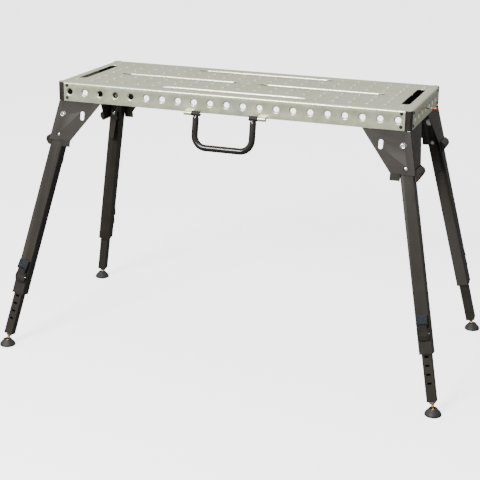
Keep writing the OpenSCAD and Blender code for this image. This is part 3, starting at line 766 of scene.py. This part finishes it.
def rivets():
    """Domed rivets through the skirts at the corners."""
    bm = bmesh.new()
    x, y = RAIL_X - RIVET_IN, RAIL_Y - RIVET_IN
    profile = [(0.3, 1.6), (2.6, 1.55), (3.9, 1.3), (4.6, 0.7), (4.8, 0.0), (2.5, -0.05),
               (2.5, -4.2), (4.5, -4.25), (4.6, -4.9), (4.0, -5.35), (0.4, -5.4)]
    for sx in (-1, 1):
        for sy in (-1, 1):
            for dz in (-RIVET_DZ, RIVET_DZ):
                for place, out in (((sx * x, sy * HALF_W, HOLE_Z + dz), Vector((0, sy, 0))),
                                   ((sx * HALF_L, sy * y, HOLE_Z + dz), Vector((sx, 0, 0)))):
                    turn = out.to_track_quat("Z", "Y").to_matrix().to_4x4()
                    lathe(bm, profile, Matrix.Translation(place) @ turn @ Matrix.Scale(MM, 4), 24)
    piece = finish_mesh("rivets_domed", bm, PLASTIC)
    set_up(piece, "deck", "black_plastic", "corner_rivets")


# Handle and pull rod --------------------------------------------------------

HANDLE_TILT = -9.5
HANDLE_X = 87.5
HANDLE_DROP = 97.0
HANDLE_BEND = 35.0
HANDLE_R = 9.5
BARREL = 25.0


def handle():
    """A bent tube, narrowed a little where each end meets its hinge sleeve, and the sleeves."""
    at = Matrix.Translation(JOINTS["handle_swing"]["pos_m"]) @ Matrix.Rotation(
        math.radians(HANDLE_TILT), 4, "X") @ Matrix.Scale(MM, 4)
    x, drop, bend, tube = HANDLE_X, HANDLE_DROP, HANDLE_BEND, HANDLE_R
    half = [(Vector((x, 0, -depth)), across, along) for depth, across, along in (
        (5.5, 6.0, 8.2), (8, 7.0, 8.8), (11, 8.6, 9.2), (14, tube, tube), (52, tube, tube))]
    for i in range(13):
        a = math.radians(90 * i / 12)
        half.append((Vector((x - bend + bend * math.cos(a), 0, -drop + bend - bend * math.sin(a))),
                     tube, tube))
    half.append((Vector((x - bend - 25, 0, -drop)), tube, tube))
    path = half + [(Vector((-p.x, p.y, p.z)), a, b) for p, a, b in reversed(half)]
    bm = bmesh.new()
    # sweep starts at any right angle to the path, so this finds which radius lies along X
    flip = abs((Vector((0, 0, -1)).orthogonal()).x) > 0.5
    sweep(bm, [p for p, a, b in path], [(b, a) if flip else (a, b) for p, a, b in path], at, 32)
    piece = finish_mesh("handle_tube", bm, GLOSS)
    set_up(piece, "handle", "black_paint", "carry_handle")

    bm = bmesh.new()
    for side in (-1, 1):
        lathe(bm, [(3.05, 0.4), (3.4, 0), (7.0, 0), (7.5, 0.5), (7.5, BARREL - 0.5), (7.0, BARREL),
                   (3.4, BARREL), (3.05, BARREL - 0.4), (3.05, 0.4)],
              at @ shift(side * x - BARREL / 2, 0, 0) @ ALONG_X, 40)
    piece = finish_mesh("handle_barrels", bm, PLASTIC)
    set_up(piece, "handle", "black_plastic", "handle_sleeves")


def pull_rod():
    """The steel rod with its collar, and the red cap on its outer end."""
    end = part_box("pull_rod")[0].x
    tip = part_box("rod_tip")
    start = (tip[0].x - end) / MM
    centre = (tip[0] + tip[1]) / 2
    at = Matrix.Translation((end, centre.y, centre.z)) @ ALONG_X @ Matrix.Scale(MM, 4)
    bm = bmesh.new()
    lathe(bm, [(4.5, 0), (5, 0.4), (5, 2.6), (4.5, 3), (2.5, 3.1), (2.5, start + 1.7),
               (2.2, start + 2)], at, 32)
    piece = finish_mesh("pull_rod_steel", bm, ROD)
    set_up(piece, "rod", "bright_zinc", "pull_rod")
    bm = bmesh.new()
    nose = [(4.0 * math.cos(a), start + 11 + 4.0 * math.sin(a))
            for a in (math.radians(10 * i) for i in range(9))]
    lathe(bm, [(2.55, start + 0.1), (3.5, start), (3.9, start + 0.5), (4.0, start + 1.2),
               (4.0, start + 2.6), (3.8, start + 3.0), (3.8, start + 10)] + nose, at, 32)
    piece = finish_mesh("pull_rod_cap", bm, RED)
    set_up(piece, "rod", "red_vinyl", "rod_tip")


for corner in CORNERS:
    leg = leg_matrix(corner)
    height_latch(corner, leg)
    lock_pin(corner, leg)
    foot_screw(corner, leg)
    lock_nut(corner, leg)
    foot_pad(corner)
pivot_bolts()
rivets()
handle()
pull_rod()

# Finished copies of the CAD's own shapes ----------------------------------

for corner in CORNERS:
    rounded_copy("bracket_" + corner, "deck", "black_paint", PAINT, 0.0006)
    rounded_copy("leg_tube_" + corner, "leg_" + corner, "black_paint", PAINT, 0.0004)
    rounded_copy("guide_bush_" + corner, "leg_" + corner, "black_plastic", PLASTIC, 0.0003)
    rounded_copy("inner_tube_" + corner, "lower_" + corner, "black_paint", PAINT, 0.0003)
    rounded_copy("end_plug_" + corner, "lower_" + corner, "black_plastic", PLASTIC, 0.0003)
    rounded_copy("lock_lever_" + corner, "lever_" + corner, "black_paint", PAINT, 0.0004)
rounded_copy("bracket_bumpers", "deck", "black_plastic", PLASTIC, 0.0008)
rounded_copy("corner_caps", "deck", "black_plastic", PLASTIC, 0.0004)
rounded_copy("handle_knuckles", "deck", "zinc_sheet", ZINC, 0.0006)
rounded_copy("handle_pins", "deck", "bright_zinc", BRIGHT, 0.0004)
rounded_copy("rod_guide", "deck", "bright_zinc", BRIGHT, 0.0003)


# Stage, light and camera --------------------------------------------------

FLOOR_HALF = 12.0
FLOOR_GLOW = 2.4


def stage():
    """A pale floor that lights and mirrors nothing, so the dark paint stays dark."""
    bm = bmesh.new()
    bmesh.ops.create_grid(bm, x_segments=1, y_segments=1, size=FLOOR_HALF)
    s = Shader("pale_floor", (0.96, 0.96, 0.96), 0.0, 0.9)
    s.colour(s.ramp(s.noise(2.0), (0.0, (0.95, 0.95, 0.95)), (1.0, (0.97, 0.97, 0.97))))
    s.bsdf.inputs["Emission Color"].default_value = (1.0, 1.0, 1.0, 1)
    s.bsdf.inputs["Emission Strength"].default_value = FLOOR_GLOW
    floor = finish_mesh("floor", bm, s.material)
    floor.visible_diffuse = False
    floor.visible_glossy = False


def area_light(name, place, target, size, energy):
    light = bpy.data.lights.new(name, "AREA")
    light.shape = "SQUARE"
    light.size = size
    light.energy = energy
    lamp = bpy.data.objects.new(name, light)
    bpy.context.scene.collection.objects.link(lamp)
    lamp.location = place
    lamp.rotation_euler = (Vector(target) - Vector(place)).to_track_quat("-Z", "Y").to_euler()


SIDE_DIM = 0.62
SIDE_BRIGHT = 1.0
BELOW = 0.28
HORIZON = 0.2


def studio():
    """Surroundings that fade towards +X and below the horizon, with two soft lights."""
    world = bpy.data.worlds.new("studio")
    bpy.context.scene.world = world
    world.use_nodes = True
    tree = world.node_tree
    background = tree.nodes["Background"]
    background.inputs["Color"].default_value = (1.0, 1.0, 1.0, 1)
    place = tree.nodes.new("ShaderNodeTexCoord")
    split = tree.nodes.new("ShaderNodeSeparateXYZ")
    tree.links.new(place.outputs["Generated"], split.inputs["Vector"])
    fades = []
    for axis, low, high, dim, bright in (("X", 1.0, -1.0, SIDE_DIM, SIDE_BRIGHT),
                                         ("Z", -HORIZON, HORIZON, BELOW, 1.0)):
        fade = tree.nodes.new("ShaderNodeMapRange")
        fade.inputs["From Min"].default_value = low
        fade.inputs["From Max"].default_value = high
        fade.inputs["To Min"].default_value = dim
        fade.inputs["To Max"].default_value = bright
        tree.links.new(split.outputs[axis], fade.inputs["Value"])
        fades.append(fade.outputs["Result"])
    product = tree.nodes.new("ShaderNodeMath")
    product.operation = "MULTIPLY"
    for source, socket in zip(fades, product.inputs):
        tree.links.new(source, socket)
    tree.links.new(product.outputs["Value"], background.inputs["Strength"])
    area_light("key", (-1.0, -3.5, 2.8), (0.1, 0, 0.5), 1.4, 285)
    area_light("top", (0.6, 0.3, 4.0), (0, 0, 0.8), 3.0, 22)


LENS = 88.87
CAMERA_PLACE = (1.1532, -3.3390, 1.4876)
YAW, PITCH, ROLL = 0.3387, 0.3175, 0.0151


def camera():
    """A long lens to the front right, looking a little down on the deck."""
    lens = bpy.data.cameras.new("camera")
    lens.sensor_width = 36.0
    lens.lens = LENS
    view = bpy.data.objects.new("camera", lens)
    bpy.context.scene.collection.objects.link(view)
    ahead = Vector((-math.sin(YAW) * math.cos(PITCH), math.cos(YAW) * math.cos(PITCH),
                    -math.sin(PITCH)))
    turn = ahead.to_track_quat("-Z", "Y").to_matrix() @ Matrix.Rotation(ROLL, 3, "Z")
    view.matrix_world = Matrix.Translation(CAMERA_PLACE) @ turn.to_4x4()
    bpy.context.scene.camera = view


stage()
studio()
camera()
